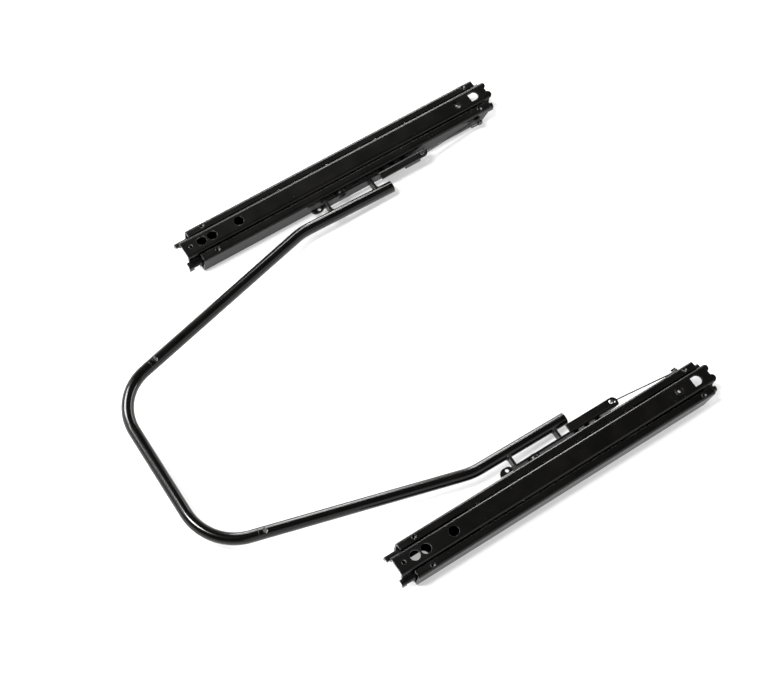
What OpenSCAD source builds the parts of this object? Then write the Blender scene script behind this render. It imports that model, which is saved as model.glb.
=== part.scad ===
// Pair of seat slide rails joined by a lift-up release bar.
// X runs along the rails towards the rear, Y from the left rail to the right one, Z up.
// The origin is the middle of the four floor bolt holes, on the floor.

/* [Set] */
// Distance between the middle lines of the two rails
rail_spacing = 357; // [330:1:420]

/* [Outer rail] */
// Length of the outer rail
outer_length = 323; // [315:1:335]
// Width over the side walls
outer_width = 37; // [36.5:0.1:38]
// Height over the lips
outer_height = 20.5; // [20:0.1:21.5]
// Sheet thickness of the outer rail
outer_sheet = 2; // [1.8:0.1:2.2]
// Width of each lip, from the wall's outer face
lip_width = 7.5; // [7:0.1:8]
// Inside radius of every sheet bend
bend_radius = 0.8; // [0.5:0.1:1.2]
// Distance of the floor bolt holes from the rail's ends
bolt_inset = 34; // [30:1:40]
// Diameter of the floor bolt holes
bolt_hole = 8.5; // [7:0.1:9]
// Length of the slot in the web near the front end
web_slot_length = 20; // [14:1:22]
// Width of the slot in the web
web_slot_width = 10.4; // [8:0.1:12]
// Distance of the web slot's front edge from the rail's front end
web_slot_inset = 4; // [3:0.5:6]
// Length of the notch in the web at the rear end
web_notch_length = 25.5; // [20:0.5:26]
// Width of the notch in the web at the rear end
web_notch_width = 22; // [18:0.5:24]
// How far the lips start behind the web's front edge
front_slant = 1; // [0.5:0.1:3]
// How far the web ends in front of the lips' rear ends
rear_slant = 11.5; // [8:0.5:12]
// Distance of the front cage stop dimples from the front end
dimple_inset = 17; // [14:1:20]
// Distance of the rear cage stop dimples from the rear end
rear_dimple_inset = 11; // [9:0.5:14]
// Diameter of a cage stop dimple
dimple_width = 5; // [4.5:0.1:6]
// Diameter of the hole in the middle of a dimple
dimple_hole = 2; // [1.5:0.1:2.4]

/* [Inner rail] */
// Length of the inner rail's crown
inner_length = 342; // [336:1:348]
// Shift of the inner rail's middle from the outer rail's middle, as stored
inner_shift = -1; // [-3:0.5:3]
// Width of the raised crown
crown_width = 19; // [18.6:0.1:19.4]
// Height of the crown above the lips
crown_rise = 2.5; // [2:0.1:3]
// Sheet thickness of the inner rail
inner_sheet = 2; // [1.8:0.1:2.2]
// Gap between the rack flange and the outer rail's wall
flange_gap = 1.2; // [1:0.1:1.4]
// Depth of the rack flange below the top of its brim
flange_depth = 7.1; // [6.8:0.1:7.4]
// Distance from notch to notch along the rack
notch_pitch = 12; // [11:0.1:13]
// Width of a notch
notch_width = 6.4; // [6:0.1:7]
// Depth of a notch
notch_depth = 3.6; // [3.4:0.1:3.9]
// Distance of the first notch from the crown's front end
first_notch = 5; // [4:0.5:6]
// How far the brims reach in front of the crown
fin_reach = 2.8; // [1:0.1:3]
// Depth of the relief cut beside the crown's rear end
rear_relief = 4; // [3.9:0.1:6]
// How far the brims stop short of the crown's rear end
brim_short = 2; // [1:0.1:3]
// Diameter of the seat bolt holes
seat_hole = 9.6; // [8:0.1:10]
// Distances of the seat bolt holes from the crown's front end
seat_hole_places = [19, 30.2, 59];
// Diameter of the small pilot holes
pilot_hole = 4; // [3:0.1:5]
// Distance of the front pilot hole from the crown's front end
front_pilot_inset = 7.5; // [6:0.1:9]
// Distance of the rear pilot hole from the crown's rear end
rear_pilot_inset = 37; // [34:0.5:42]
// Width of the roller stop dent around the rear pilot hole
dent_width = 9; // [8:0.1:10]
// Depth of the roller stop dent
dent_depth = 0.8; // [0.5:0.1:1]
// Distance between the first and the rear seat bolt hole
seat_bolt_spacing = 306; // [300:0.5:308]
// Length of the rear seat bolt hole, which has a flat front side
flat_hole_length = 9.5; // [8.5:0.1:10]

/* [Bearings] */
// Diameter of a bearing ball
ball_d = 4.2; // [4:0.1:4.3]
// Gap between a ball and each face that it runs on
ball_play = 0.1; // [0.05:0.01:0.15]
// Number of balls in one cage
ball_count = 10; // [6:1:11]
// Distance from ball to ball
ball_pitch = 18; // [14:1:18]
// Thickness of a cage strip
cage_sheet = 1; // [0.8:0.1:1.2]
// Distance between the two rollers of a rail
roller_spacing = 145; // [130:1:150]
// Gap between a roller and the faces that it runs on
roller_play = 0.1; // [0.05:0.01:0.2]
// Bore of a roller
roller_bore = 9; // [6:0.1:11]

/* [Release lever] */
// Place of the lever's pivot along the rail
pivot_x = -12; // [-14:0.5:-8]
// Height of the lever's pivot
pivot_z = 11; // [10.5:0.1:11.5]
// Diameter of the pivot rivet's shank
pivot_d = 6; // [5:0.1:7]
// Sheet thickness of the lever
lever_sheet = 2; // [1.8:0.1:2.2]
// Gap between the lever and the rail's wall
lever_gap = 2.4; // [2:0.05:2.8]
// Number of locking fingers
finger_count = 3; // [2:1:3]
// Which notch of the rack the first finger stands under
finger_notch = 17; // [17:1:17]
// Width of a locking finger
finger_width = 5; // [4.4:0.1:5.4]
// Gap between the fingers and the rack, as stored
finger_clearance = 0.3; // [0.2:0.05:0.5]
// Rear end of the lever
lever_rear_x = 82; // [80:0.5:86]
// Front end of the lever's wide rear flange
wing_front_x = 28; // [26:0.5:30]
// Reach of the wide rear flange from the rail's wall
wing_reach = 11; // [10:0.1:13]
// Height of the rear flange's top face
wing_top = 18; // [17:0.1:18.2]
// Front end of the rear flange's turned-down edge
wing_lip_x = 55; // [50:1:60]
// Depth of the turned-down edge below the flange's top
wing_lip_depth = 6; // [4:0.1:7]
// Place of the round front ear along the rail
ear_x = -40; // [-42:0.5:-38]
// Reach of the front ear from the lever's inner face
ear_radius = 5.6; // [5:0.1:6.5]
// Half the length of the front ear along the rail
ear_half = 7; // [6:0.1:7.5]
// Hole in the front ear
ear_hole = 3.6; // [3:0.1:4]
// Height of the front ear's top face
ear_top = 11.5; // [10:0.1:13]
// Height of the lever's top edge in front of the rear flange
lever_top = 16; // [15:0.1:17]

/* [Return spring] */
// Diameter of the spring wire
wire_d = 1.4; // [1.2:0.1:1.6]
// Distance of the spring's coil from the outer rail's rear end
coil_inset = 14.5; // [14:0.5:20]
// Height of the coil's middle
coil_z = 9.5; // [9:0.1:10.4]
// Diameter of the pin inside the coil
coil_pin_d = 4; // [3.6:0.1:4.6]
// Whole turns in the coil, besides the half turn between its legs
coil_turns = 1; // [1:1:3]
// Distance from turn to turn
coil_pitch = 1.5; // [1.45:0.05:1.8]
// Hole in the rear flange that holds the spring's end
hook_hole = 4; // [3.6:0.1:4.5]
// Distance of the hook hole from the lever's rear end
hook_inset = 6; // [5:0.5:8]
// Distance of the hook hole from the rail's wall
hook_reach = 7.5; // [7:0.1:8]

/* [Release bar] */
// Outer diameter of the tube
tube_d = 11.4; // [10.6:0.1:12]
// Wall of the tube
tube_wall = 1.2; // [1:0.1:1.5]
// Distance of the straight tube ends from the rail's middle line
bar_offset = 37.3; // [36:0.1:40]
// Rear end of the tube
bar_end_x = 34; // [30:1:38]
// Place of the bend where the arms leave the rails' direction
bar_bend_x = -67.4; // [-75:0.5:-60]
// Height of the tube's middle at that bend
bar_bend_z = 14.5; // [14:0.1:15]
// Middle line of the crossbar in front of the rails
bar_front_x = -298.8; // [-320:0.5:-280]
// Half the crossbar's length, to the corner of its middle line
bar_corner_y = 81; // [70:1:100]
// Slope of the whole bar, rising to the front
bar_tilt = 3.1; // [2.5:0.1:3.5]
// Middle line radius of the crossbar's corners
corner_radius = 48; // [40:1:55]
// Middle line radius of the bend beside the rails
bend_line_radius = 60; // [40:1:90]
// Distance of the joint between bow and arm from the corner
joint_inset = 44; // [42:0.5:60]
// Length of the bow's reduced end inside the arm
spigot_length = 22; // [16:1:30]
// Gap between the reduced end and the arm's bore
spigot_gap = 0.1; // [0.05:0.01:0.15]
// Depth of the stake notches that lock the joint
stake_depth = 1; // [0.4:0.1:1]

/* [Hidden] */
$fn = 48;

// Colours of the paint and of the bare steel
paint = [0.05, 0.05, 0.055];
bar_paint = [0.06, 0.06, 0.065];
bare_steel = [0.62, 0.62, 0.64];
dark_steel = [0.16, 0.16, 0.17];
cage_colour = [0.2, 0.2, 0.19];
// Reach of a cut beyond the sheet that it goes through
past = 1;
// Straight pieces in the arc of one sheet bend
bend_steps = 4;

// Heights and faces of the two rails
wall_face = outer_width / 2;
wall_inside = wall_face - outer_sheet;
lip_under = outer_height - outer_sheet;
lip_edge = wall_face - lip_width;
crown_top = outer_height + crown_rise;
crown_under = crown_top - inner_sheet;
crown_half = crown_width / 2;
leg_inside = crown_half - inner_sheet;
brim_top = lip_under - ball_d - 2 * ball_play;
flange_face = wall_inside - flange_gap;
flange_inside = flange_face - inner_sheet;
flange_low = brim_top - flange_depth;
outer_front = -outer_length / 2;
outer_rear = outer_length / 2;
inner_front = inner_shift - inner_length / 2;
inner_rear = inner_shift + inner_length / 2;
dent_hole = 3;
lobe_radius = 3.8;
lobe_notch = 3;
slant_drop = 3.5;
slant_top = outer_height - slant_drop;
slant_low = 2 * outer_sheet;
relief_side = 1;
relief_edge = crown_half + relief_side;
dimple_depth = outer_sheet / 2;
dimple_y = lip_edge + lip_width / 2;
dimple_x = [outer_front + dimple_inset, outer_rear - rear_dimple_inset];
notch_count = floor((inner_length - 2 * first_notch) / notch_pitch) + 1;

// Bearings
ball_side_gap = 0.4;
ball_y = crown_half + ball_d / 2 + ball_side_gap;
ball_z = (lip_under + brim_top) / 2;
cage_clear = 0.3;
cage_inner = crown_half + cage_clear;
cage_outer = wall_inside - cage_clear;
cage_margin = 9;
cage_length = (ball_count - 1) * ball_pitch + 2 * cage_margin;
cage_hole = ball_d + cage_clear;
roller_z = (outer_sheet + crown_under) / 2;
roller_d = crown_under - outer_sheet - 2 * roller_play;
roller_side_gap = 0.6;
roller_length = 2 * (leg_inside - roller_side_gap);

// Lever
lever_face = wall_face + lever_gap;
lever_outer = lever_face + lever_sheet;
lever_middle = lever_face + lever_sheet / 2;
finger_top = flange_low - finger_clearance;
finger_low = finger_top - lever_sheet;
finger_x = [for (k = [0:finger_count - 1]) inner_front + first_notch + notch_pitch * (finger_notch + k)];
finger_overreach = 0.6;
finger_tip = flange_inside - finger_overreach;
wing_edge = wall_face + wing_reach;
wing_under = wing_top - lever_sheet;
wing_corner = 5;
hook_x = lever_rear_x - hook_inset;
hook_y = wall_face + hook_reach;
spare_hole = 2.2;
spare_hole_reach = 1.5;
spare_hole_y = lever_outer + spare_hole_reach;
spare_hole_setback = 3.2;
ear_hole_shift = 1;
ear_hole_reach = 2.52;
ear_neck = 3.36;
strut_setback = 10.4;
strut_x = [ear_x + ear_radius + lever_sheet, wing_front_x - strut_setback];
strut_sheet = 2.5;
strut_half = 4.4;
strut_overlap = 3;
lever_front_x = strut_x[0];
lever_drop = 6.2;
lever_low = pivot_z - lever_drop;
lever_rear_depth = 3;
lever_step = 6;
window_margin = 2;
window_front = finger_x[0] - finger_width / 2 - window_margin;
window_rear = finger_x[finger_count - 1] + finger_width / 2 + window_margin;
window_low = outer_sheet + bend_radius;
window_top = flange_low + notch_depth;
pivot_play = 0.16;
pivot_bore = pivot_d + pivot_play;

// Rivet and pin
tail_height = 0.8;
rivet_tail_rim = 2;
rivet_tail_d = pivot_d + rivet_tail_rim;
rivet_head_d = 9;
rivet_head_h = 1.3;
rivet_head_gap = 0.1;
washer_d = 12;
washer_gap = 0.05;
pin_step = 1;
pin_shank_d = coil_pin_d - pin_step;
pin_tail_d = coil_pin_d + pin_step;
pin_head_rim = 1.5;
pin_head_d = coil_pin_d + pin_head_rim;
pin_head_h = 0.8;

// Spring
coil_x = outer_rear - coil_inset;
coil_clear = 0.25;
pin_head_clear = 0.2;
leg_clear = 0.3;
coil_radius = coil_pin_d / 2 + wire_d / 2 + coil_clear;
coil_in_y = wall_face + wire_d / 2 + coil_clear;
coil_out_y = coil_in_y + coil_pitch * (coil_turns + 0.5);
coil_end_y = coil_out_y + wire_d / 2 + pin_head_clear;
leg_under = wing_under - wire_d / 2 - leg_clear;
short_leg = 9;
short_leg_x = coil_x - short_leg;
short_leg_z = coil_z - coil_radius;
short_leg_setback = 0.2;
short_leg_bend = 1.5;
short_leg_play = 1.8;
short_leg_hole = wire_d + short_leg_play;
hook_rise = 2.5;
hook_end_z = wing_top + hook_rise;
hook_bend = 1.2;
wire_sides = 8;
turn_steps = 16;

// Release bar, drawn flat and then tilted about its bend beside the rails
tube_r = tube_d / 2;
tube_bore_r = tube_r - tube_wall;
spigot_r = tube_bore_r - spigot_gap;
spigot_wall = 1;
swage_length = 3;
// Bending thins the tube a little, and its straight pieces run into the bends
bend_thinning = 0.02;
bend_overlap = 0.5;
bar_y = rail_spacing / 2 - bar_offset;
corner = [bar_front_x, bar_corner_y];
bend_point = [bar_bend_x, bar_y];
arm_way = (bend_point - corner) / norm(bend_point - corner);
joint_point = corner + arm_way * joint_inset;
arm_path = [[bar_end_x, bar_y], bend_point, joint_point];
bow_path = [joint_point, corner, [corner[0], -corner[1]], [joint_point[0], -joint_point[1]]];
stake_inset = 6;
stake_slope = 25;

// Direction and left-hand normal of a line
function way(a, b) = (b - a) / norm(b - a);
function normal(v) = [-v[1], v[0]];
function last(list) = list[len(list) - 1];
function back(list) = [for (i = [len(list) - 1:-1:0]) list[i]];

// Signed turn from one direction to the next, in degrees
function turn(u, v) = atan2(u[0] * v[1] - u[1] * v[0], u[0] * v[0] + u[1] * v[1]);

// Arc that rounds the corner b of a line a, b, c, set off to its left by shift
function bend_arc(a, b, c, radius, shift) =
    let(
        u = way(a, b),
        angle = turn(u, way(b, c)),
        side = sign(angle),
        start = b - u * radius * tan(abs(angle) / 2),
        centre = start + normal(u) * side * radius,
        heading = atan2(u[1], u[0])
    )
    [for (k = [0:bend_steps])
        let(h = heading + angle * k / bend_steps)
        centre - [-sin(h), cos(h)] * side * (radius - side * shift)];

// One face of a bent sheet whose middle line is the given path
function sheet_face(path, radius, shift) = concat(
    [path[0] + normal(way(path[0], path[1])) * shift],
    [for (i = [1:len(path) - 2]) each bend_arc(path[i - 1], path[i], path[i + 1], radius, shift)],
    [last(path) + normal(way(path[len(path) - 2], last(path))) * shift]
);

// Outline of a bent sheet
function sheet_outline(path, sheet) =
    let(radius = bend_radius + sheet / 2)
    concat(sheet_face(path, radius, sheet / 2), back(sheet_face(path, radius, -sheet / 2)));

// The path and its mirror image, as one line
function both_sides(half_path) = concat(
    [for (p = back(half_path)) [-p[0], p[1]]],
    half_path
);

// A profile in Y and Z, drawn out along X
module along_x(from, to) {
    translate([from, 0, 0]) rotate([90, 0, 90]) linear_extrude(to - from) children();
}

// A profile in X and Y, drawn upwards
module upwards(low, high) {
    translate([0, 0, low]) linear_extrude(high - low) children();
}

// A profile in X and Z, drawn out along Y
module along_y(from, to) {
    translate([0, to, 0]) rotate([90, 0, 0]) linear_extrude(to - from) children();
}

// A box from one corner to the other
module box(low, high) {
    translate(low) cube(high - low);
}

// A round hole through level sheet
module hole_down(x, y, low, high, d) {
    translate([x, y, low]) cylinder(h = high - low, d = d);
}

// A round hole or shank across the rail
module round_across(x, z, from, to, d) {
    translate([x, to, z]) rotate([90, 0, 0]) cylinder(h = to - from, d = d);
}

// Ball whose lowest cap has the given width and depth, standing on the point
module cap_ball(x, y, z, width, depth) {
    radius = (width * width / 4 + depth * depth) / (2 * depth);
    translate([x, y, z + radius]) sphere(radius);
}

// A left part as it stands, with inboard towards +Y
module left_rail_place() {
    translate([0, -rail_spacing / 2, 0]) children();
}

// The same part, mirrored, on the right rail
module right_rail_place() {
    mirror([0, 1, 0]) left_rail_place() children();
}

// Outer rail: floor channel with in-turned lips

module outer_profile() {
    half = outer_sheet / 2;
    polygon(sheet_outline(both_sides([
        [wall_face - half, half],
        [wall_face - half, outer_height - half],
        [lip_edge, outer_height - half]
    ]), outer_sheet));
}

module web_slot() {
    radius = web_slot_width / 2;
    front = outer_front + web_slot_inset;
    hull_length = web_slot_length - web_slot_width;
    upwards(-past, outer_sheet + past) {
        translate([front + radius, -radius]) square([hull_length, web_slot_width]);
        translate([front + radius, 0]) circle(radius);
        translate([front + radius + hull_length, 0]) circle(radius);
    }
}

// Open notch at the web's rear end, for the rear seat bolt
module web_notch() {
    radius = web_notch_width / 4;
    front = outer_rear - web_notch_length;
    upwards(-past, outer_sheet + past) {
        translate([front + radius, -web_notch_width / 2]) square([web_notch_length + past, web_notch_width]);
        translate([front, radius - web_notch_width / 2]) square([2 * radius, web_notch_width - 2 * radius]);
        for (side = [-1, 1])
            translate([front + radius, side * (web_notch_width / 2 - radius)]) circle(radius);
    }
}

// Slanting ends of the side walls
module end_slants() {
    along_y(-wall_face - past, wall_face + past) {
        polygon([
            [outer_front - past, outer_height + past],
            [outer_front + front_slant, outer_height + past],
            [outer_front, slant_low],
            [outer_front - past, slant_low]
        ]);
        polygon([
            [outer_rear - rear_slant, -past],
            [outer_rear + past, -past],
            [outer_rear + past, slant_top],
            [outer_rear, slant_top]
        ]);
    }
}

module outer_cuts() {
    web_slot();
    for (x = [outer_front + bolt_inset, outer_rear - bolt_inset])
        hole_down(x, 0, -past, outer_sheet + past, bolt_hole);
    web_notch();
    end_slants();
    box([window_front, wall_inside - past, window_low], [window_rear, wall_face + past, window_top]);
    round_across(pivot_x, pivot_z, wall_inside - past, wall_face + past, pivot_d);
    round_across(coil_x, coil_z, wall_inside - past, wall_face + past, pin_shank_d);
    round_across(short_leg_x, short_leg_z, wall_inside - past, wall_face + past, short_leg_hole);
    for (x = dimple_x)
        for (side = [-1, 1])
            cap_ball(x, side * dimple_y, outer_height - dimple_depth, dimple_width, dimple_depth);
}

// Undersides of the dimples, which stop the ball cages
module cage_stops() {
    for (x = dimple_x)
        for (side = [-1, 1])
            intersection() {
                cap_ball(x, side * dimple_y, lip_under - dimple_depth, dimple_width, dimple_depth);
                hole_down(x, side * dimple_y, lip_under - dimple_depth, lip_under, dimple_width);
            }
}

module outer_rail() {
    difference() {
        union() {
            difference() {
                along_x(outer_front, outer_rear) outer_profile();
                outer_cuts();
            }
            cage_stops();
        }
        for (x = dimple_x)
            for (side = [-1, 1])
                hole_down(x, side * dimple_y, lip_under - 2 * past, outer_height + past, dimple_hole);
    }
}

// Inner rail: hat section with a notched rack flange on each side

module inner_profile() {
    half = inner_sheet / 2;
    polygon(sheet_outline(back(both_sides([
        [crown_half - half, crown_top - half],
        [crown_half - half, brim_top - half],
        [flange_face - half, brim_top - half],
        [flange_face - half, flange_low]
    ])), inner_sheet));
}

// Notches open to the bottom edge of both flanges
module rack_notches() {
    for (k = [0:notch_count - 1]) {
        front = inner_front + first_notch + notch_pitch * k - notch_width / 2;
        for (side = [-1, 1]) {
            y = side * (flange_inside + flange_face) / 2 - inner_sheet;
            box([front, y, flange_low - past],
                [front + notch_width, y + 2 * inner_sheet, flange_low + notch_depth]);
        }
    }
}

// What is cut away around the two round lobes at the crown's rear end
module lobe_cut() {
    lobe_y = crown_half - lobe_radius;
    upwards(brim_top - inner_sheet - past, crown_top + past) difference() {
        translate([inner_rear - lobe_radius, -relief_edge]) square([lobe_radius + past, 2 * relief_edge]);
        translate([inner_rear - lobe_radius - past, -lobe_y])
            square([lobe_radius + past - lobe_notch, 2 * lobe_y]);
        for (side = [-1, 1])
            translate([inner_rear - lobe_radius, side * lobe_y]) circle(lobe_radius);
    }
}

// The legs stop short of the crown's rear end
module leg_cuts() {
    low = brim_top - inner_sheet - past;
    for (side = [-1, 1]) {
        y = side * (leg_inside + relief_edge) / 2 - inner_sheet;
        box([inner_rear - rear_relief, y, low], [inner_rear + past, y + 2 * inner_sheet, crown_under]);
    }
}

module flat_hole() {
    radius = seat_hole / 2;
    round_x = inner_front + seat_hole_places[0] + seat_bolt_spacing;
    upwards(crown_under - past, crown_top + past) {
        translate([round_x, 0]) circle(radius);
        translate([round_x + radius - flat_hole_length, -radius])
            square([flat_hole_length - radius, seat_hole]);
    }
}

module inner_cuts() {
    box([inner_front - fin_reach - past, -crown_half, -past], [inner_front, crown_half, crown_top + past]);
    for (side = [-1, 1])
        translate([inner_rear - brim_short, side * (relief_edge + wall_face) / 2 - wall_face / 2, -past])
            cube([brim_short + past, wall_face, brim_top + 2 * past]);
    lobe_cut();
    leg_cuts();
    rack_notches();
    flat_hole();
    for (place = seat_hole_places)
        hole_down(inner_front + place, 0, crown_under - past, crown_top + past, seat_hole);
    hole_down(inner_front + front_pilot_inset, 0, crown_under - past, crown_top + past, pilot_hole);
    cap_ball(inner_rear - rear_pilot_inset, 0, crown_top - dent_depth, dent_width, dent_depth);
}

// Underside of the dent, which stops the rear roller
module roller_stop() {
    x = inner_rear - rear_pilot_inset;
    intersection() {
        cap_ball(x, 0, crown_under - dent_depth, dent_width, dent_depth);
        hole_down(x, 0, crown_under - dent_depth, crown_under, dent_width);
    }
}

module inner_rail() {
    difference() {
        union() {
            difference() {
                along_x(inner_front - fin_reach, inner_rear) inner_profile();
                inner_cuts();
            }
            roller_stop();
        }
        hole_down(inner_rear - rear_pilot_inset, 0, crown_under - 2 * past, crown_top + past, dent_hole);
    }
}

// Bearings between the rails

function ball_place(k) = (k - (ball_count - 1) / 2) * ball_pitch;

module ball_cages() {
    for (side = [-1, 1])
        difference() {
            box([-cage_length / 2, min(side * cage_inner, side * cage_outer), ball_z - cage_sheet / 2],
                [cage_length / 2, max(side * cage_inner, side * cage_outer), ball_z + cage_sheet / 2]);
            for (k = [0:ball_count - 1])
                hole_down(ball_place(k), side * ball_y, ball_z - past, ball_z + past, cage_hole);
        }
}

module balls() {
    for (side = [-1, 1])
        for (k = [0:ball_count - 1])
            translate([ball_place(k), side * ball_y, ball_z]) sphere(d = ball_d);
}

module rollers() {
    half = roller_length / 2;
    for (x = [-roller_spacing / 2, roller_spacing / 2])
        difference() {
            round_across(x, roller_z, -half, half, roller_d);
            round_across(x, roller_z, -half - past, half + past, roller_bore);
        }
}

// Latch lever with its pivot

// Height of the tilted bar's middle line
function bar_z(x) = bar_bend_z - (x - bar_bend_x) * tan(bar_tilt);

module lever_plate() {
    along_y(lever_face, lever_outer) polygon([
        [lever_front_x, lever_low],
        [window_front - lever_step, lever_low],
        [window_front, finger_low],
        [window_rear, finger_low],
        [window_rear + lever_step, lever_low + lever_sheet],
        [lever_rear_x, wing_under - lever_rear_depth],
        [lever_rear_x, wing_under],
        [wing_front_x - lever_sheet, wing_under],
        [wing_front_x - lever_step, lever_top],
        [lever_front_x, lever_top]
    ]);
}

// Round corners of the ear's radius, joined by a straight edge
module ear_outline() {
    straight = ear_half - ear_radius;
    for (side = [-1, 1])
        translate([side * straight, 0]) circle(ear_radius);
    translate([-straight, -ear_radius]) square([2 * straight, 2 * ear_radius]);
}

module front_ear() {
    upwards(ear_top - lever_sheet, ear_top) difference() {
        union() {
            intersection() {
                translate([ear_x, lever_face]) ear_outline();
                translate([ear_x - ear_half, lever_face]) square([2 * ear_half, ear_radius]);
            }
            translate([ear_x, lever_face]) square([lever_front_x + strut_sheet - ear_x, ear_neck]);
        }
        translate([ear_x + ear_hole_shift, lever_face + ear_hole_reach]) circle(d = ear_hole);
    }
}

// Upright tabs that carry the tube
module tube_struts() {
    for (x = strut_x) {
        z = bar_z(x + strut_sheet / 2);
        box([x, lever_face, z - strut_half],
            [x + strut_sheet, bar_offset - tube_r + strut_overlap, z + strut_half]);
    }
}

// Rear flange, bent outwards at the lever's top edge
module wing() {
    half = lever_sheet / 2;
    difference() {
        along_x(wing_front_x, lever_rear_x) polygon(sheet_outline([
            [lever_middle, wing_under - lever_rear_depth],
            [lever_middle, wing_top - half],
            [wing_edge, wing_top - half]
        ], lever_sheet));
        wing_corner_cut();
        hole_down(hook_x, hook_y, wing_under - past, wing_top + past, hook_hole);
        hole_down(hook_x + spare_hole_setback, spare_hole_y, wing_under - past, wing_top + past, spare_hole);
    }
    along_x(wing_lip_x, hook_x - hook_hole / 2 - lever_sheet) polygon(sheet_outline([
        [wing_edge - 3 * lever_sheet, wing_top - half],
        [wing_edge - half, wing_top - half],
        [wing_edge - half, wing_top - wing_lip_depth]
    ], lever_sheet));
}

module wing_corner_cut() {
    upwards(wing_under - past, wing_top + past) difference() {
        translate([lever_rear_x - wing_corner, wing_edge - wing_corner]) square(wing_corner + past);
        translate([lever_rear_x - wing_corner, wing_edge - wing_corner]) circle(wing_corner);
    }
}

module fingers() {
    for (x = finger_x)
        box([x - finger_width / 2, finger_tip, finger_low], [x + finger_width / 2, lever_outer, finger_top]);
}

module latch_lever() {
    difference() {
        union() {
            lever_plate();
            front_ear();
            tube_struts();
            wing();
            fingers();
        }
        round_across(pivot_x, pivot_z, lever_face - past, lever_outer + past, pivot_bore);
        translate([0, rail_spacing / 2, 0]) mirror([0, 1, 0]) bar_place()
            rod([arm_path[0], bend_point], tube_r + spigot_gap);
    }
}

// Domed head, shank through the wall and lever, and a flat tail inside the rail
module pivot_rivet() {
    head_face = lever_outer + rivet_head_gap;
    round_across(pivot_x, pivot_z, wall_inside, head_face, pivot_d);
    round_across(pivot_x, pivot_z, wall_inside - tail_height, wall_inside, rivet_tail_d);
    translate([pivot_x, head_face, pivot_z]) rotate([-90, 0, 0]) intersection() {
        cylinder(h = rivet_head_h, d = rivet_head_d);
        translate([0, 0, rivet_head_h - rivet_head_d]) sphere(rivet_head_d);
    }
}

module pivot_washer() {
    difference() {
        round_across(pivot_x, pivot_z, wall_face + washer_gap, lever_face - washer_gap, washer_d);
        round_across(pivot_x, pivot_z, wall_face - past, lever_face + past, pivot_bore);
    }
}

// Return spring on its pin

module spring_pin() {
    round_across(coil_x, coil_z, wall_inside, wall_face, pin_shank_d);
    round_across(coil_x, coil_z, wall_inside - tail_height, wall_inside, pin_tail_d);
    round_across(coil_x, coil_z, wall_face, coil_end_y, coil_pin_d);
    round_across(coil_x, coil_z, coil_end_y, coil_end_y + pin_head_h, pin_head_d);
}

// Middle line of the wire: short leg through the wall, coil, long leg, upturned end
function coil_point(angle, y) = [coil_x + coil_radius * cos(angle), y, coil_z + coil_radius * sin(angle)];
function spring_line() =
    let(
        sweep = 180 + 360 * coil_turns,
        steps = round(turn_steps * sweep / 360)
    )
    concat(
        [[short_leg_x, wall_inside + short_leg_setback, short_leg_z],
            [short_leg_x, coil_out_y - short_leg_bend, short_leg_z]],
        [for (a = [30, 60])
            [short_leg_x + short_leg_bend * (1 - cos(a)),
                coil_out_y - short_leg_bend * (1 - sin(a)), short_leg_z]],
        [[short_leg_x + short_leg_bend, coil_out_y, short_leg_z]],
        [for (k = [0:steps])
            coil_point(-90 + sweep * k / steps, coil_out_y - (coil_out_y - coil_in_y) * k / steps)],
        [for (a = [0, 30, 60, 90])
            [hook_x + hook_bend * (1 - sin(a)), hook_y, leg_under + hook_bend * (1 - cos(a))]],
        [[hook_x, hook_y, hook_end_z]]
    );

// A round wire swept along a line of points
function unit(v) = v / norm(v);
function tangent(p, i) = unit(p[min(i + 1, len(p) - 1)] - p[max(i - 1, 0)]);
function carried(n, t) = unit(n - t * (n * t));
function frames(p, i, n) = i == len(p) ? [] :
    let(m = carried(n, tangent(p, i)))
    concat([m], frames(p, i + 1, m));

module wire(p, radius) {
    side = frames(p, 0, [0, 0.3, 1]);
    points = [for (i = [0:len(p) - 1]) for (k = [0:wire_sides - 1])
        let(a = 360 * k / wire_sides, b = cross(tangent(p, i), side[i]))
        p[i] + radius * (cos(a) * side[i] + sin(a) * b)];
    rings = len(p);
    walls = [for (i = [0:rings - 2]) for (k = [0:wire_sides - 1])
        let(a = i * wire_sides, n = (k + 1) % wire_sides)
        [a + k, a + wire_sides + k, a + wire_sides + n, a + n]];
    ends = [[for (k = [0:wire_sides - 1]) k],
        [for (k = [wire_sides - 1:-1:0]) (rings - 1) * wire_sides + k]];
    polyhedron(points, concat(walls, ends), convexity = 10);
}

module return_spring() {
    wire(spring_line(), wire_d / 2);
}

// Release bar: a bow in front and one arm to each lever

// Lays the flat bar at its slope
module bar_place() {
    translate([bar_bend_x, 0, bar_bend_z]) rotate([0, bar_tilt, 0])
        translate([-bar_bend_x, 0, 0]) children();
}

// Length that a bend takes off the straight pieces beside it
function bend_reach(a, b, c, radius) = radius * tan(abs(turn(way(a, b), way(b, c))) / 2);

// Round bar along a flat line, with every inner corner bent to the given radius
module rod(path, r, bore = 0, radius = 0) {
    count = len(path);
    for (i = [0:count - 2]) {
        u = way(path[i], path[i + 1]);
        from = i == 0 ? path[0]
            : path[i] + u * (bend_reach(path[i - 1], path[i], path[i + 1], radius) - bend_overlap);
        to = i == count - 2 ? path[count - 1]
            : path[i + 1] - u * (bend_reach(path[i], path[i + 1], path[i + 2], radius) - bend_overlap);
        translate([from[0], from[1], 0]) rotate([0, 0, atan2(u[1], u[0])]) rotate([0, 90, 0])
            ring_bar(norm(to - from), r, bore);
    }
    if (count > 2)
        for (i = [1:count - 2])
            rod_bend(path[i - 1], path[i], path[i + 1], r - bend_thinning, bore + bend_thinning, radius);
}

module ring_bar(length, r, bore) {
    linear_extrude(length) ring(r, bore);
}

module ring(r, bore) {
    difference() {
        circle(r);
        if (bore > 0) circle(bore);
    }
}

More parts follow.
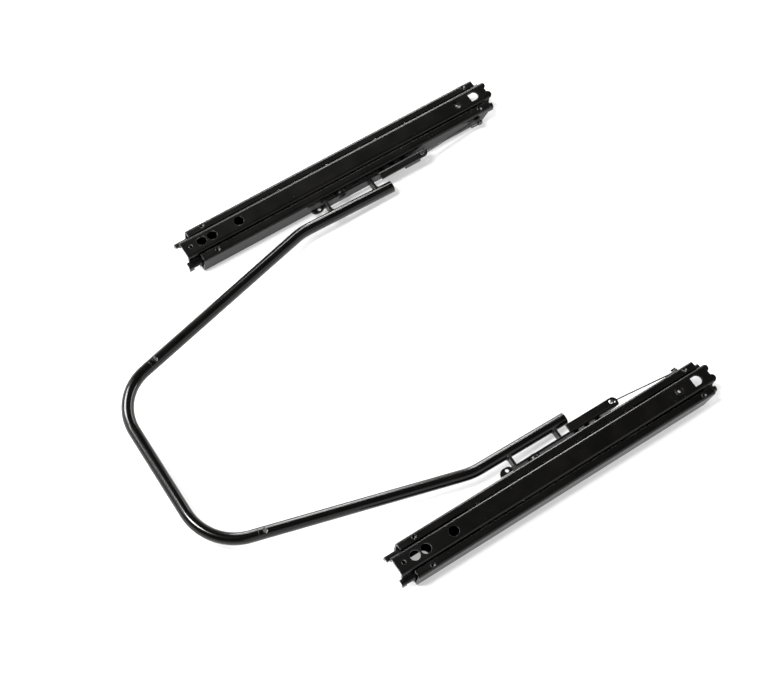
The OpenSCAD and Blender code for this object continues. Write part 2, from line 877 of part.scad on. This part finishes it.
module rod_bend(a, b, c, r, bore, radius) {
    u = way(a, b);
    angle = turn(u, way(b, c));
    side = sign(angle);
    start = b - u * bend_reach(a, b, c, radius);
    centre = start + normal(u) * side * radius;
    heading = atan2(u[1], u[0]) - 90 * side;
    first = side > 0 ? heading : heading + angle;
    translate([centre[0], centre[1], 0]) rotate([0, 0, first])
        rotate_extrude(angle = abs(angle)) translate([radius, 0]) ring(r, bore);
}

// Reduced end of the bow, which goes into the arm
module spigot(place, heading) {
    mid_wall = tube_r - tube_wall / 2;
    translate([place[0], place[1], 0]) rotate([0, 0, heading]) rotate([0, 90, 0]) difference() {
        union() {
            translate([0, 0, -swage_length]) cylinder(h = swage_length - bend_overlap, r = mid_wall);
            translate([0, 0, -swage_length / 2])
                cylinder(h = swage_length / 2 + spigot_length, r = spigot_r);
        }
        translate([0, 0, -swage_length - past])
            cylinder(h = spigot_length + swage_length + 2 * past, r = spigot_r - spigot_wall);
    }
}

module release_bow() {
    color(bar_paint) bar_place() {
        rod(bow_path, tube_r, tube_bore_r, corner_radius);
        for (side = [-1, 1])
            spigot([joint_point[0], side * joint_point[1]], side * atan2(arm_way[1], arm_way[0]));
    }
}

// Right arm; the left one is its mirror image
module arm() {
    stake = joint_point + arm_way * stake_inset;
    bar_place() difference() {
        rod(arm_path, tube_r, tube_bore_r, bend_line_radius);
        for (side = [0, 1])
            translate([stake[0], stake[1], 0]) rotate([0, 0, atan2(arm_way[1], arm_way[0])])
                mirror([0, 0, side]) stake_wedge();
    }
}

// Wedge that the stake notch is pressed with, across the tube
module stake_wedge() {
    low = tube_r - stake_depth;
    rise = stake_depth + past;
    reach = rise / tan(stake_slope);
    along_y(-tube_r, tube_r) polygon([[0, low], [reach, low + rise], [-reach, low + rise]]);
}

// One module for each node

module left_outer_rail() { color(paint) left_rail_place() outer_rail(); }
module right_outer_rail() { color(paint) right_rail_place() outer_rail(); }
module left_inner_rail() { color(paint) left_rail_place() inner_rail(); }
module right_inner_rail() { color(paint) right_rail_place() inner_rail(); }
module left_ball_cages() { color(cage_colour) left_rail_place() ball_cages(); }
module right_ball_cages() { color(cage_colour) right_rail_place() ball_cages(); }
module left_balls() { color(bare_steel) left_rail_place() balls(); }
module right_balls() { color(bare_steel) right_rail_place() balls(); }
module left_rollers() { color(bare_steel) left_rail_place() rollers(); }
module right_rollers() { color(bare_steel) right_rail_place() rollers(); }
module left_pivot_rivet() { color(dark_steel) left_rail_place() pivot_rivet(); }
module right_pivot_rivet() { color(dark_steel) right_rail_place() pivot_rivet(); }
module left_pivot_washer() { color(dark_steel) left_rail_place() pivot_washer(); }
module right_pivot_washer() { color(dark_steel) right_rail_place() pivot_washer(); }
module left_latch_lever() { color(paint) left_rail_place() latch_lever(); }
module right_latch_lever() { color(paint) right_rail_place() latch_lever(); }
module left_spring_pin() { color(dark_steel) left_rail_place() spring_pin(); }
module right_spring_pin() { color(dark_steel) right_rail_place() spring_pin(); }
module left_return_spring() { color(dark_steel) left_rail_place() return_spring(); }
module right_return_spring() { color(dark_steel) right_rail_place() return_spring(); }
module left_release_arm() { color(bar_paint) mirror([0, 1, 0]) arm(); }
module right_release_arm() { color(bar_paint) arm(); }

left_outer_rail();
right_outer_rail();
left_inner_rail();
right_inner_rail();
left_ball_cages();
right_ball_cages();
left_balls();
right_balls();
left_rollers();
right_rollers();
left_pivot_rivet();
right_pivot_rivet();
left_pivot_washer();
right_pivot_washer();
left_latch_lever();
right_latch_lever();
left_spring_pin();
right_spring_pin();
left_return_spring();
right_return_spring();
release_bow();
left_release_arm();
right_release_arm();
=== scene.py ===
"""Looks of a pair of seat slide rails with a lift-up release bar.

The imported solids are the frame. This script paints them, adds the weld beads that hold the
release bar to its levers, and sets up a studio with the camera at the photograph's angle.
"""

import logging
import math
import random
from dataclasses import dataclass, field
from enum import Enum
from typing import Any, Iterable, Optional, Sequence, Union

import bmesh
import bpy
from mathutils import Euler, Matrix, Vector


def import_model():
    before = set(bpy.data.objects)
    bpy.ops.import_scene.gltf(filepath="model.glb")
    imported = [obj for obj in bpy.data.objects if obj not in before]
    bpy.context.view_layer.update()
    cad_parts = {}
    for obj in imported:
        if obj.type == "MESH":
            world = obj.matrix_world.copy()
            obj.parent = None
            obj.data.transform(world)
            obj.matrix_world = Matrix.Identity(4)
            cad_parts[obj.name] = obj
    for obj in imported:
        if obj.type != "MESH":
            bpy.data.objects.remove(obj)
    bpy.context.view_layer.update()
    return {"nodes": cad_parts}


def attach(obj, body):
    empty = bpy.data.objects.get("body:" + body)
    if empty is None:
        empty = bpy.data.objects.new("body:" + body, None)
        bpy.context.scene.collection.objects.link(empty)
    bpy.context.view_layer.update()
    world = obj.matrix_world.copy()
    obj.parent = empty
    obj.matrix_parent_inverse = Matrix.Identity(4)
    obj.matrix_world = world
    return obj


LOG = logging.getLogger("slide_rails")
NOISE_MIDDLE = 0.5
FINE_DETAIL = 4.0
DOT_CORE = 0.5
EDGE_BAND = (0.02, 0.22)
EDGE_SAMPLES = 8
ALONG_RAIL = Vector((1.0, 0.0, 0.0))
ACROSS = Vector((0.0, 1.0, 0.0))
Band = tuple[float, float]
Colour = tuple[float, float, float]
Place = tuple[float, float, float]


class Side(Enum):
    """The two rails of the set; the value is the sign of Y."""

    LEFT = -1
    RIGHT = 1

    @property
    def word(self) -> str:
        """Name of the side as the nodes spell it."""
        return self.name.lower()


class Value:
    """A shader socket that takes part in Python arithmetic."""

    def __init__(self, shader: "Shader", socket: bpy.types.NodeSocket) -> None:
        """Wraps a socket.

        Args:
            shader: The material that the socket belongs to.
            socket: An output socket that carries one number.
        """
        self.shader = shader
        self.socket = socket

    def _math(self, operation: str, first: Any, second: Any) -> "Value":
        """Adds one Math node and returns its result."""
        return self.shader.node("ShaderNodeMath", {"operation": operation}, {0: first, 1: second}).value()

    def __add__(self, other: Any) -> "Value":
        """Sum of two values."""
        return self._math("ADD", self, other)

    def __radd__(self, other: Any) -> "Value":
        """Sum with a number in front."""
        return self._math("ADD", other, self)

    def __sub__(self, other: Any) -> "Value":
        """Difference of two values."""
        return self._math("SUBTRACT", self, other)

    def __rsub__(self, other: Any) -> "Value":
        """Difference from a number in front."""
        return self._math("SUBTRACT", other, self)

    def __mul__(self, other: Any) -> "Value":
        """Product of two values."""
        return self._math("MULTIPLY", self, other)

    def __rmul__(self, other: Any) -> "Value":
        """Product with a number in front."""
        return self._math("MULTIPLY", other, self)

    def step(self, low: float, high: float) -> "Value":
        """Smooth rise from 0 at low to 1 at high."""
        settings = {"interpolation_type": "SMOOTHSTEP"}
        return self.shader.node("ShaderNodeMapRange", settings, {0: self, 1: low, 2: high}).value()


class MadeNode:
    """A node just added to a material."""

    def __init__(self, shader: "Shader", node: bpy.types.Node) -> None:
        """Keeps the node with its material."""
        self.shader = shader
        self.node = node

    def value(self, name: Union[int, str] = 0) -> Value:
        """One output as a number for arithmetic."""
        return Value(self.shader, self.node.outputs[name])

    def out(self, name: Union[int, str] = 0) -> bpy.types.NodeSocket:
        """One output as a bare socket, for colours and vectors."""
        return self.node.outputs[name]


class Shader:
    """One material and the nodes that make it."""

    def __init__(self, name: str) -> None:
        """Starts an empty material.

        Args:
            name: Name of the material.
        """
        self.material = bpy.data.materials.new(name)
        self.material.use_nodes = True
        self.tree = self.material.node_tree
        self.tree.nodes.clear()
        self.output = self.tree.nodes.new("ShaderNodeOutputMaterial")

    def node(self, kind: str, settings: Optional[dict[str, Any]] = None,
             inputs: Optional[dict[Union[int, str], Any]] = None) -> MadeNode:
        """Adds a node.

        Args:
            kind: Type name of the node.
            settings: Attributes of the node, set first.
            inputs: Values or links of its input sockets.

        Returns:
            The node, wrapped.
        """
        made = self.tree.nodes.new(kind)
        for name, setting in (settings or {}).items():
            setattr(made, name, setting)
        for name, given in (inputs or {}).items():
            self._feed(made.inputs[name], given)
        return MadeNode(self, made)

    def _feed(self, socket: bpy.types.NodeSocket, given: Any) -> None:
        """Links or sets one input socket.

        Args:
            socket: The input socket.
            given: A value or an output socket to link, or a constant to set.
        """
        if isinstance(given, Value):
            given = given.socket
        if isinstance(given, bpy.types.NodeSocket):
            self.tree.links.new(given, socket)
        else:
            socket.default_value = given

    def place(self) -> bpy.types.NodeSocket:
        """Place on the object, in metres."""
        return self.node("ShaderNodeTexCoord").out("Object")

    def noise(self, per_metre: float, detail: float = 3.0, rough: float = 0.55) -> Value:
        """Soft noise over the surface.

        Args:
            per_metre: How many grains lie on one metre.
            detail: Layers of finer noise.
            rough: Share of the finer layers.

        Returns:
            A value around one half.
        """
        inputs = {"Vector": self.place(), "Scale": per_metre, "Detail": detail, "Roughness": rough}
        return self.node("ShaderNodeTexNoise", None, inputs).value()

    def specks(self, per_metre: float, share: float) -> Value:
        """Small scattered dots, 1 on a dot and 0 beside it.

        Args:
            per_metre: How many cells lie on one metre.
            share: Radius of a dot as a share of its cell.

        Returns:
            The mask.
        """
        cells = self.node("ShaderNodeTexVoronoi", None, {"Vector": self.place(), "Scale": per_metre})
        return 1.0 - cells.value("Distance").step(share * DOT_CORE, share)

    def mixed(self, low: Any, high: Any, factor: Value) -> bpy.types.NodeSocket:
        """Mix of two colours.

        Args:
            low: Colour where the factor is 0, or a socket.
            high: Colour where the factor is 1, or a socket.
            factor: The mask.

        Returns:
            The mixed colour.
        """
        made = self.node("ShaderNodeMix", {"data_type": "RGBA"}, {"Factor": factor})
        for name, given in (("A", low), ("B", high)):
            socket = next(s for s in made.node.inputs if s.name == name and s.type == "RGBA")
            self._feed(socket, given if isinstance(given, bpy.types.NodeSocket) else (*given, 1.0))
        return next(s for s in made.node.outputs if s.type == "RGBA")

    def bump(self, height: Value, depth: float, strength: float,
             base: Optional[bpy.types.NodeSocket] = None) -> bpy.types.NodeSocket:
        """Surface normal from a height.

        Args:
            height: Height over the surface, from 0 to 1.
            depth: Depth of that height in metres.
            strength: Share of the effect.
            base: Normal that the height stands on, or the surface's own.

        Returns:
            The normal.
        """
        inputs = {"Height": height, "Distance": depth, "Strength": strength}
        if base is not None:
            inputs["Normal"] = base
        return self.node("ShaderNodeBump", None, inputs).out("Normal")

    def rounded(self, radius: float) -> bpy.types.NodeSocket:
        """Surface normal with every sharp edge rounded.

        Args:
            radius: Radius of the edges in metres.

        Returns:
            The normal.
        """
        return self.node("ShaderNodeBevel", {"samples": EDGE_SAMPLES}, {"Radius": radius}).out()

    def edges(self, soft: bpy.types.NodeSocket) -> Value:
        """How near a sharp edge is, from 0 on a face to 1 on the edge.

        Args:
            soft: The rounded normal.

        Returns:
            The mask.
        """
        own = self.node("ShaderNodeNewGeometry").out("Normal")
        both = self.node("ShaderNodeVectorMath", {"operation": "DOT_PRODUCT"}, {0: soft, 1: own})
        return (1.0 - both.value("Value")).step(*EDGE_BAND)

    def upward(self) -> Value:
        """How far the surface faces up, from -1 to 1."""
        normal = self.node("ShaderNodeNewGeometry").out("Normal")
        return self.node("ShaderNodeSeparateXYZ", None, {0: normal}).value("Z")

    def surface(self, inputs: dict[str, Any]) -> bpy.types.Material:
        """Closes the material with one Principled surface.

        Args:
            inputs: Values or links of its sockets.

        Returns:
            The finished material.
        """
        shell = self.node("ShaderNodeBsdfPrincipled", None, inputs)
        self.tree.links.new(shell.out(), self.output.inputs["Surface"])
        return self.material


@dataclass(frozen=True)
class PaintFinish:
    """Black paint over steel sheet or tube, with a little dust on top and edges painted lighter, partly as
    worn paint and partly as a painted highlight.

    Lengths are in metres, and a band is where a smooth step starts and ends.
    """

    name: str
    slot: str
    tint: Colour = (0.0011, 0.00105, 0.0009)
    pale: Colour = (0.0024, 0.0022, 0.0019)
    cloud_per_metre: float = 38.0
    cloud_band: Band = (0.35, 0.75)
    gloss: float = 0.25
    unevenness: float = 0.08
    shine: float = 0.30
    peel_per_metre: float = 620.0
    peel_detail: float = 2.0
    peel_depth: float = 0.00006
    peel_strength: float = 0.25
    # Colour of the lighter edges: partly worn paint, partly a painted highlight along every sharp edge.
    worn_paint_and_edge_highlight: Colour = (0.030, 0.029, 0.027)
    edge_radius: float = 0.0006
    wear_and_highlight_per_metre: float = 90.0
    wear_and_highlight_band: Band = (0.35, 0.6)
    wear_and_highlight_least: float = 0.4
    dust: Colour = (0.16, 0.155, 0.15)
    dust_share: float = 0.10
    dust_per_metre: float = 260.0
    dust_cover: float = 0.5
    dust_dulling: float = 0.25
    drift_per_metre: float = 55.0
    drift_band: Band = (0.5, 0.7)
    upward_band: Band = (0.6, 0.95)

    def material(self) -> bpy.types.Material:
        """Builds the paint.

        Returns:
            The material.
        """
        shader = Shader(self.name)
        cloud = shader.noise(self.cloud_per_metre)
        grain = shader.noise(self.peel_per_metre, self.peel_detail)
        body = shader.mixed(self.tint, self.pale, cloud.step(*self.cloud_band))
        drift = shader.noise(self.drift_per_metre, FINE_DETAIL).step(*self.drift_band)
        lying = shader.upward().step(*self.upward_band) * drift
        dots = shader.specks(self.dust_per_metre, self.dust_share) * lying
        soft = shader.rounded(self.edge_radius)
        # Sharp edges are painted lighter: partly worn paint, partly a painted highlight laid along every
        # edge.
        patchy_edge = shader.noise(self.wear_and_highlight_per_metre, FINE_DETAIL).step(*self.wear_and_highlight_band)
        edge = shader.edges(soft) * (self.wear_and_highlight_least + (1.0 - self.wear_and_highlight_least) * patchy_edge)
        body_with_worn_and_lit_edges = shader.mixed(body, self.worn_paint_and_edge_highlight, edge)
        rough = self.gloss + self.unevenness * (cloud - NOISE_MIDDLE) + self.dust_dulling * dots
        return shader.surface({
            "Base Color": shader.mixed(body_with_worn_and_lit_edges, self.dust, dots * self.dust_cover),
            "Roughness": rough,
            "Specular IOR Level": self.shine,
            "Normal": shader.bump(grain, self.peel_depth, self.peel_strength, soft),
        })


@dataclass(frozen=True)
class SteelFinish:
    """Bare or oiled steel with a fine grain under an uneven film."""

    name: str
    slot: str
    tint: Colour
    dark: Colour
    gloss: float
    grain_per_metre: float = 400.0
    grain_detail: float = 3.0
    grain_rough: float = 0.6
    grain_share: float = 0.2
    grain_depth: float = 0.00004
    grain_strength: float = 0.3
    film_per_metre: float = 120.0
    film_band: Band = (0.4, 0.7)
    film_share: float = 0.15

    def material(self) -> bpy.types.Material:
        """Builds the steel.

        Returns:
            The material.
        """
        shader = Shader(self.name)
        grain = shader.noise(self.grain_per_metre, self.grain_detail, self.grain_rough)
        film = shader.noise(self.film_per_metre)
        uneven = self.grain_share * (grain - NOISE_MIDDLE) + self.film_share * (film - NOISE_MIDDLE)
        return shader.surface({
            "Base Color": shader.mixed(self.tint, self.dark, film.step(*self.film_band)),
            "Metallic": 1.0,
            "Roughness": self.gloss + uneven,
            "Normal": shader.bump(grain, self.grain_depth, self.grain_strength),
        })


RAIL_PAINT = PaintFinish("rail_paint", "rail_paint")
LATCH_PAINT = PaintFinish("latch_paint", "latch_paint", gloss=0.28)
BAR_PAINT = PaintFinish("bar_paint", "bar_paint", gloss=0.16, unevenness=0.05, shine=0.42,
                        peel_depth=0.00004)
RIVET_PAINT = PaintFinish("rivet_paint", "rivet_steel", gloss=0.26, pale=(0.012, 0.0115, 0.011))
SPRING_WIRE = SteelFinish("spring_wire", "spring_wire", (0.10, 0.10, 0.10), (0.05, 0.045, 0.04), 0.34)
BEARING_STEEL = SteelFinish("bearing_steel", "bearing_steel", (0.60, 0.60, 0.61), (0.42, 0.41, 0.40), 0.2)
CAGE_STEEL = SteelFinish("cage_steel", "cage_steel", (0.28, 0.27, 0.25), (0.16, 0.14, 0.11), 0.4)
Finish = Union[PaintFinish, SteelFinish]


class PaintShop:
    """Keeps one material for each finish and lays it on objects."""

    def __init__(self, nodes: dict[str, bpy.types.Object]) -> None:
        """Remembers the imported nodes.

        Args:
            nodes: Node name to object.
        """
        self.nodes = nodes
        self.made: dict[str, bpy.types.Material] = {}

    def coat(self, piece: bpy.types.Object, finish: Finish) -> None:
        """Gives an object one finish all over.

        Args:
            piece: The object.
            finish: Its finish.
        """
        if finish.name not in self.made:
            self.made[finish.name] = finish.material()
        piece.data.materials.clear()
        piece.data.materials.append(self.made[finish.name])

    def coat_nodes(self, names: Iterable[str], finish: Finish) -> None:
        """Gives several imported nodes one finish.

        Args:
            names: Names of the nodes.
            finish: Their finish.
        """
        for name in names:
            self.coat(self.nodes[name], finish)
            LOG.info("%s: %s", name, finish.name)


def add_ring(mesh: bmesh.types.BMesh, middle: Vector, radius: float, count: int,
             first: Vector, second: Vector) -> list[bmesh.types.BMVert]:
    """Adds a ring of points.

    Args:
        mesh: The mesh that gets them.
        middle: Middle of the ring.
        radius: Its radius.
        count: Number of points.
        first: Direction of the first point.
        second: Direction that the ring turns to.

    Returns:
        The points in order.
    """
    points = []
    for number in range(count):
        turn = 2.0 * math.pi * number / count
        points.append(mesh.verts.new(middle + radius * (math.cos(turn) * first + math.sin(turn) * second)))
    return points


def join_rings(mesh: bmesh.types.BMesh, rings: Sequence[list[bmesh.types.BMVert]]) -> None:
    """Lays faces between rings of the same number of points.

    Args:
        mesh: The mesh of the rings.
        rings: The rings in order.
    """
    for one, two in zip(rings, rings[1:]):
        for here in range(len(one)):
            after = (here + 1) % len(one)
            mesh.faces.new((one[here], one[after], two[after], two[here]))


def new_piece(name: str, mesh: bmesh.types.BMesh) -> bpy.types.Object:
    """Turns a finished mesh into an object.

    Args:
        name: Name of the piece.
        mesh: Its mesh, which is freed.

    Returns:
        The object, linked to the scene.
    """
    bmesh.ops.recalc_face_normals(mesh, faces=mesh.faces)
    data = bpy.data.meshes.new(name)
    mesh.to_mesh(data)
    mesh.free()
    for face in data.polygons:
        face.use_smooth = True
    piece = bpy.data.objects.new(name, data)
    bpy.context.scene.collection.objects.link(piece)
    return piece


@dataclass
class Rail:
    """One slide: outer rail, inner rail and the bearings between them."""

    side: Side

    def dress(self, shop: PaintShop) -> None:
        """Paints the rail's nodes.

        Args:
            shop: The paint shop.
        """
        word = self.side.word
        shop.coat_nodes([f"{word}_outer_rail", f"{word}_inner_rail"], RAIL_PAINT)
        shop.coat_nodes([f"{word}_balls", f"{word}_rollers"], BEARING_STEEL)
        shop.coat_nodes([f"{word}_ball_cages"], CAGE_STEEL)


@dataclass
class Latch:
    """One latch lever with its pivot, its return spring and the welds to the release bar.

    The tube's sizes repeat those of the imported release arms, and strut_faces gives the place
    along the rail of each strut's face and the direction that it looks.
    """

    side: Side
    tube_radius: float = 0.0057
    tube_offset: float = 0.1412
    tube_slope: float = math.radians(3.1)
    tube_bend: tuple[float, float] = (-0.0674, 0.0145)
    strut_faces: Sequence[tuple[float, int]] = ((-0.0324, -1), (-0.0299, 1), (0.0176, -1), (0.0201, 1))
    bead_radius: float = 0.00125
    bead_reach: float = math.radians(48.0)
    bead_steps: int = 22
    bead_sides: int = 10
    bead_taper: float = 6.0
    bead_least: float = 0.05
    bead_set_out: float = 0.15
    ripple_low: float = 0.86
    ripple_waves: float = 5.5
    ripple_scatter: float = 0.04

    def dress(self, shop: PaintShop) -> None:
        """Paints the latch's nodes and lays its weld beads.

        Args:
            shop: The paint shop.
        """
        word = self.side.word
        shop.coat_nodes([f"{word}_latch_lever"], LATCH_PAINT)
        rivets = [f"{word}_pivot_rivet", f"{word}_pivot_washer", f"{word}_spring_pin"]
        shop.coat_nodes(rivets, RIVET_PAINT)
        shop.coat_nodes([f"{word}_return_spring"], SPRING_WIRE)
        for number, (x, way) in enumerate(self.strut_faces, start=1):
            bead = self.weld_bead(f"{word}_weld_{number}", x, way)
            shop.coat(bead, BAR_PAINT)
            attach(bead, "release")
            LOG.info("%s: weld bead", bead.name)

    def tube_middle(self, x: float) -> Vector:
        """Middle of the tube's straight end at a place along the rail.

        Args:
            x: The place along the rail.

        Returns:
            The point on the tube's middle line.
        """
        bend_x, bend_z = self.tube_bend
        z = bend_z - (x - bend_x) * math.tan(self.tube_slope)
        return Vector((x, self.side.value * self.tube_offset, z))

    def weld_bead(self, name: str, x: float, way: int) -> bpy.types.Object:
        """Builds a rippled bead in the corner between a strut's face and the tube.

        Args:
            name: Name of the piece.
            x: Place of the strut's face along the rail.
            way: Direction that the face looks, along X.

        Returns:
            The bead.
        """
        dice = random.Random(name)
        middle = self.tube_middle(x)
        rings = []
        mesh = bmesh.new()
        for step in range(self.bead_steps + 1):
            share = step / self.bead_steps
            angle = (2.0 * share - 1.0) * self.bead_reach
            radial = Vector((0.0, self.side.value * math.cos(angle), math.sin(angle)))
            radius = self.bead_radius * self.bead_thickness(share, dice)
            set_out = Vector((way * radius * self.bead_set_out, 0.0, 0.0))
            heart = middle + radial * self.tube_radius + set_out
            rings.append(add_ring(mesh, heart, radius, self.bead_sides, radial, ALONG_RAIL))
        join_rings(mesh, rings)
        mesh.faces.new(rings[0])
        mesh.faces.new(rings[-1])
        return new_piece(name, mesh)

    def bead_thickness(self, share: float, dice: random.Random) -> float:
        """Thickness of a bead at a share of its length, with its ripples and its thin ends.

        Args:
            share: Place along the bead, from 0 to 1.
            dice: Source of the small differences between ripples.

        Returns:
            The thickness as a share of the full one.
        """
        taper = math.sqrt(min(1.0, self.bead_taper * share, self.bead_taper * (1.0 - share)))
        wave = abs(math.sin(self.ripple_waves * math.pi * share))
        scatter = dice.uniform(-self.ripple_scatter, self.ripple_scatter)
        ripple = self.ripple_low + (1.0 - self.ripple_low) * wave + scatter
        return max(taper * ripple, self.bead_least)


@dataclass
class ReleaseBar:
    """The bow and its two arms."""

    nodes: Sequence[str] = ("release_bow", "left_release_arm", "right_release_arm")

    def dress(self, shop: PaintShop) -> None:
        """Paints the bar's nodes.

        Args:
            shop: The paint shop.
        """
        shop.coat_nodes(self.nodes, BAR_PAINT)


@dataclass(frozen=True)
class SoftBox:
    """A soft studio light that looks at the middle of the set."""

    name: str
    place: Place
    width: float
    height: float
    watts: float
    aim: Place = (-0.05, 0.0, 0.0)

    def hang(self) -> None:
        """Adds the light to the scene."""
        data = bpy.data.lights.new(self.name, "AREA")
        data.shape = "RECTANGLE"
        data.size = self.width
        data.size_y = self.height
        data.energy = self.watts
        lamp = bpy.data.objects.new(self.name, data)
        lamp.location = self.place
        gaze = Vector(self.aim) - Vector(self.place)
        lamp.rotation_euler = gaze.to_track_quat("-Z", "Y").to_euler()
        bpy.context.scene.collection.objects.link(lamp)


@dataclass
class Studio:
    """Camera, floor and light.

    The floor is flat under the set, glows weakly like a light table, and curves up into a low
    round wall. Of the lamps, left_box is the main light and makes the streak on the bow's near
    corner, back_box makes the one on the far corner, far_box and low_box light the rails from
    behind, dent_box adds a glint at the near stake mark and a faint line on the crossbar, and
    the others fill in.
    """

    camera_place: Place = (-0.4412, -0.4625, 1.2994)
    camera_turn_deg: tuple[float, float, float] = (24.664, -2.864, -33.262)
    lens_mm: float = 72.08
    sensor_mm: float = 36.0
    floor_radius: float = 4.6
    cove_radius: float = 1.2
    cove_steps: int = 12
    wall_height: float = 2.4
    floor_sides: int = 96
    floor_gap: float = 0.0004
    floor_white: Colour = (0.52, 0.52, 0.517)
    floor_grey: Colour = (0.50, 0.50, 0.50)
    floor_per_metre: float = 2.0
    floor_rough: float = 0.7
    glow_colour: Colour = (1.0, 1.0, 1.0)
    floor_glow: float = 0.42
    sky: Colour = (0.62, 0.63, 0.65)
    sky_strength: float = 0.06
    lamps: Sequence[SoftBox] = field(default_factory=lambda: (
        SoftBox("far_box", (0.62, 1.69, 1.26), 0.65, 0.22, 12.0),
        SoftBox("low_box", (0.69, 1.87, 0.41), 0.40, 0.30, 14.0),
        SoftBox("back_box", (-0.97, 1.47, 1.43), 0.9, 0.9, 71.0),
        SoftBox("left_box", (-0.95, 0.36, 2.12), 0.35, 0.75, 56.0),
        SoftBox("dent_box", (-1.61, 0.96, 1.55), 0.22, 0.22, 5.0),
        SoftBox("wall_box", (-1.8, 1.2, 1.3), 1.2, 1.6, 12.0),
        SoftBox("near_box", (0.35, -1.85, 1.1), 2.4, 1.2, 8.0),
        SoftBox("right_box", (1.9, -0.2, 0.9), 2.0, 0.5, 26.0),
    ))

    def build(self) -> None:
        """Sets up the whole studio."""
        self.hang_camera()
        self.lay_floor()
        self.light_sky()
        for lamp in self.lamps:
            lamp.hang()
        bpy.context.scene.view_settings.view_transform = "Standard"

    def hang_camera(self) -> None:
        """Puts the camera where the photograph was taken from."""
        data = bpy.data.cameras.new("photo_camera")
        data.lens = self.lens_mm
        data.sensor_width = self.sensor_mm
        camera = bpy.data.objects.new("photo_camera", data)
        camera.location = self.camera_place
        camera.rotation_euler = Euler([math.radians(a) for a in self.camera_turn_deg], "XYZ")
        bpy.context.scene.collection.objects.link(camera)
        bpy.context.scene.camera = camera

    def lay_floor(self) -> None:
        """Lays the floor with its round wall."""
        mesh = bmesh.new()
        rings = []
        for radius, height in self.floor_profile():
            middle = Vector((0.0, 0.0, height))
            rings.append(add_ring(mesh, middle, radius, self.floor_sides, ALONG_RAIL, ACROSS))
        mesh.faces.new(rings[0])
        join_rings(mesh, rings)
        floor = new_piece("studio_floor", mesh)
        shader = Shader("studio_white")
        cloud = shader.noise(self.floor_per_metre)
        floor.data.materials.append(shader.surface({
            "Base Color": shader.mixed(self.floor_grey, self.floor_white, cloud),
            "Roughness": self.floor_rough,
            "Emission Color": (*self.glow_colour, 1.0),
            "Emission Strength": self.floor_glow,
        }))

    def floor_profile(self) -> list[tuple[float, float]]:
        """Radius and height of each ring of the floor, from its flat part to the wall's top.

        Returns:
            The rings from the inside out.
        """
        rings = []
        for step in range(self.cove_steps + 1):
            turn = 0.5 * math.pi * step / self.cove_steps
            radius = self.floor_radius + self.cove_radius * math.sin(turn)
            rings.append((radius, self.cove_radius * (1.0 - math.cos(turn)) - self.floor_gap))
        rings.append((self.floor_radius + self.cove_radius, self.wall_height))
        return rings

    def light_sky(self) -> None:
        """Fills the room with weak even light."""
        world = bpy.data.worlds.new("studio_sky")
        world.use_nodes = True
        back = world.node_tree.nodes["Background"]
        back.inputs["Color"].default_value = (*self.sky, 1.0)
        back.inputs["Strength"].default_value = self.sky_strength
        bpy.context.scene.world = world


def main() -> None:
    """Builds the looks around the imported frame."""
    logging.basicConfig(level=logging.INFO, format="%(name)s: %(message)s")
    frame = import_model()
    shop = PaintShop(frame["nodes"])
    for side in Side:
        Rail(side).dress(shop)
        Latch(side).dress(shop)
    ReleaseBar().dress(shop)
    Studio().build()
    bpy.context.view_layer.update()


if __name__ == "__main__":
    main()
